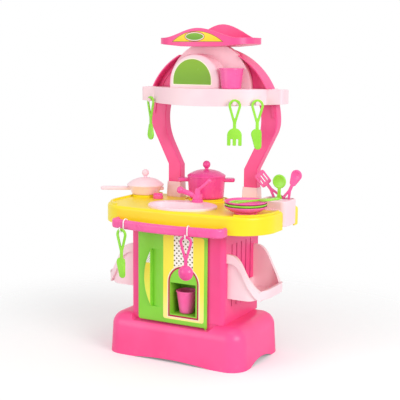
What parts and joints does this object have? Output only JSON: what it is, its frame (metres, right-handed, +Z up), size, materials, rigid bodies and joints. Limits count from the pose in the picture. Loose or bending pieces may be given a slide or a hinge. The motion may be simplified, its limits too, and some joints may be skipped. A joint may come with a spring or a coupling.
{
  "type": "toy kitchen",
  "caption": "Free-standing plastic toy kitchen with a hinged cupboard door, sink and tap, hob, arched upper shelf, towel rail, side baskets and loose pots, plates and cutlery.",
  "frame": {"origin": "middle of the base on the floor", "axes": "+Z up, -Y the front with the door, +X the side of the door's hinge"},
  "size_m": [0.5491, 0.3353, 0.831],
  "materials": {
    "steel": "plain steel",
    "hot_pink": "glossy moulded hot pink",
    "rose": "glossy moulded rose pink",
    "pale_pink": "satin moulded pale pink",
    "yellow": "glossy moulded yellow",
    "door_green": "glossy moulded green",
    "cutlery_green": "glossy moulded light green",
    "magenta": "glossy moulded magenta",
    "white": "glossy moulded white"
  },
  "bodies": {
    "kitchen": {"base_plinth": "hot_pink", "cabinet_front_frame": "hot_pink", "cabinet_left_side": "hot_pink", "cabinet_right_side": "hot_pink", "cabinet_back": "hot_pink", "back_screws": "steel", "worktop": "yellow", "sink_basin": "pale_pink", "tap_base": "rose", "left_socket": "pale_pink", "right_socket": "pale_pink", "left_upright": "hot_pink", "right_upright": "hot_pink", "upper_shelf": "pale_pink", "oven_panel": "pale_pink", "canopy": "hot_pink", "towel_rail": "rose", "left_basket": "pale_pink", "right_basket": "pale_pink", "utensil_holder": "pale_pink"},
    "door": {"door_panel": "door_green"},
    "niche_cup": {"niche_cup": "rose"},
    "ladle_hook": {"ladle_hook": "white"},
    "hanging_ladle": {"hanging_ladle": "magenta"},
    "knife_hook": {"knife_hook": "white"},
    "hanging_knife": {"hanging_knife": "cutlery_green"},
    "tap_spout": {"tap_spout": "rose"},
    "tap_lever": {"tap_lever": "rose"},
    "hob_knob": {"hob_knob": "rose"},
    "pot": {"pot": "magenta"},
    "pot_lid": {"pot_lid": "magenta"},
    "pan": {"pan": "pale_pink"},
    "pan_lid": {"pan_lid": "pale_pink"},
    "plate_lower": {"plate_lower": "rose"},
    "plate_middle": {"plate_middle": "cutlery_green"},
    "plate_upper": {"plate_upper": "rose"},
    "plate_knife": {"plate_knife": "cutlery_green"},
    "holder_turner": {"holder_turner": "rose"},
    "holder_blade": {"holder_blade": "rose"},
    "holder_round_spoon": {"holder_round_spoon": "cutlery_green"},
    "shelf_spoon": {"shelf_spoon": "cutlery_green"},
    "shelf_fork": {"shelf_fork": "cutlery_green"},
    "shelf_knife": {"shelf_knife": "cutlery_green"},
    "shelf_cup": {"shelf_cup": "rose"}
  },
  "joints": [
    {"name": "door_hinge", "type": "hinge", "parent": "kitchen", "child": "door", "pos_m": [0.085, -0.097, 0.20775], "axis": [0, 0, 1], "range_deg": [0, 90]},
    {"name": "niche_cup_pull", "type": "slide", "parent": "door", "child": "niche_cup", "axis": [0, -1, 0], "range_m": [0, 0.06]},
    {"name": "ladle_hook_slide", "type": "slide", "parent": "kitchen", "child": "ladle_hook", "axis": [0.9885, 0.1514, 0], "range_m": [0, 0.046]},
    {"name": "ladle_swing", "type": "hinge", "parent": "ladle_hook", "child": "hanging_ladle", "pos_m": [0.07227, -0.17493, 0.3311], "axis": [0.9885, 0.1514, 0], "range_deg": [-40, 12]},
    {"name": "knife_hook_slide", "type": "slide", "parent": "kitchen", "child": "knife_hook", "axis": [-0.9885, 0.1514, 0], "range_m": [0, 0.025]},
    {"name": "knife_swing", "type": "hinge", "parent": "knife_hook", "child": "hanging_knife", "pos_m": [-0.11027, -0.16911, 0.3311], "axis": [0.9885, -0.1514, 0], "range_deg": [-40, 12]},
    {"name": "spout_swivel", "type": "hinge", "parent": "kitchen", "child": "tap_spout", "pos_m": [0.008, 0, 0.3934], "axis": [0, 0, 1], "range_deg": [-40, 30]},
    {"name": "lever_tilt", "type": "hinge", "parent": "tap_spout", "child": "tap_lever", "pos_m": [0.008, 0, 0.4149], "axis": [0.4695, -0.8829, 0], "range_deg": [0, 25]},
    {"name": "hob_knob_turn", "type": "hinge", "parent": "kitchen", "child": "hob_knob", "pos_m": [-0.128, 0.035, 0.38], "axis": [0, 0, 1], "range_deg": [-150, 150]},
    {"name": "pot_lift", "type": "slide", "parent": "kitchen", "child": "pot", "axis": [0, 0, 1], "range_m": [0, 0.06]},
    {"name": "pot_lid_lift", "type": "slide", "parent": "pot", "child": "pot_lid", "axis": [0, 0, 1], "range_m": [0, 0.05]},
    {"name": "pan_lift", "type": "slide", "parent": "kitchen", "child": "pan", "axis": [0, 0, 1], "range_m": [0, 0.045]},
    {"name": "pan_lid_lift", "type": "slide", "parent": "pan", "child": "pan_lid", "axis": [0, 0, 1], "range_m": [0, 0.035]},
    {"name": "plate_lower_lift", "type": "slide", "parent": "kitchen", "child": "plate_lower", "axis": [0, 0, 1], "range_m": [0, 0.02]},
    {"name": "plate_middle_lift", "type": "slide", "parent": "plate_lower", "child": "plate_middle", "axis": [0, 0, 1], "range_m": [0, 0.02]},
    {"name": "plate_upper_lift", "type": "slide", "parent": "plate_middle", "child": "plate_upper", "axis": [0, 0, 1], "range_m": [0, 0.02]},
    {"name": "plate_knife_lift", "type": "slide", "parent": "plate_upper", "child": "plate_knife", "axis": [0, 0, 1], "range_m": [0, 0.02]},
    {"name": "holder_turner_pull", "type": "slide", "parent": "kitchen", "child": "holder_turner", "axis": [-0.6691, 0, 0.7431], "range_m": [0, 0.06]},
    {"name": "holder_blade_pull", "type": "slide", "parent": "kitchen", "child": "holder_blade", "axis": [0.4067, 0, 0.9135], "range_m": [0, 0.06]},
    {"name": "holder_round_spoon_pull", "type": "slide", "parent": "kitchen", "child": "holder_round_spoon", "axis": [0, 0, 1], "range_m": [0, 0.06]},
    {"name": "shelf_spoon_swing", "type": "hinge", "parent": "kitchen", "child": "shelf_spoon", "pos_m": [-0.1523, 0.03785, 0.6365], "axis": [-0.454, -0.891, 0], "range_deg": [-30, 30]},
    {"name": "shelf_fork_swing", "type": "hinge", "parent": "kitchen", "child": "shelf_fork", "pos_m": [0.1074, 0.00347, 0.6365], "axis": [0.3678, -0.9299, 0], "range_deg": [-30, 10]},
    {"name": "shelf_knife_swing", "type": "hinge", "parent": "kitchen", "child": "shelf_knife", "pos_m": [0.1523, 0.03785, 0.6365], "axis": [0.454, -0.891, 0], "range_deg": [-10, 30]},
    {"name": "shelf_cup_lift", "type": "slide", "parent": "kitchen", "child": "shelf_cup", "axis": [0, 0, 1], "range_m": [0, 0.04]}
  ],
  "couplings": [
    {"joint": "ladle_hook_slide", "follows": "door_hinge", "m_per_rad": 0.029284}
  ]
}
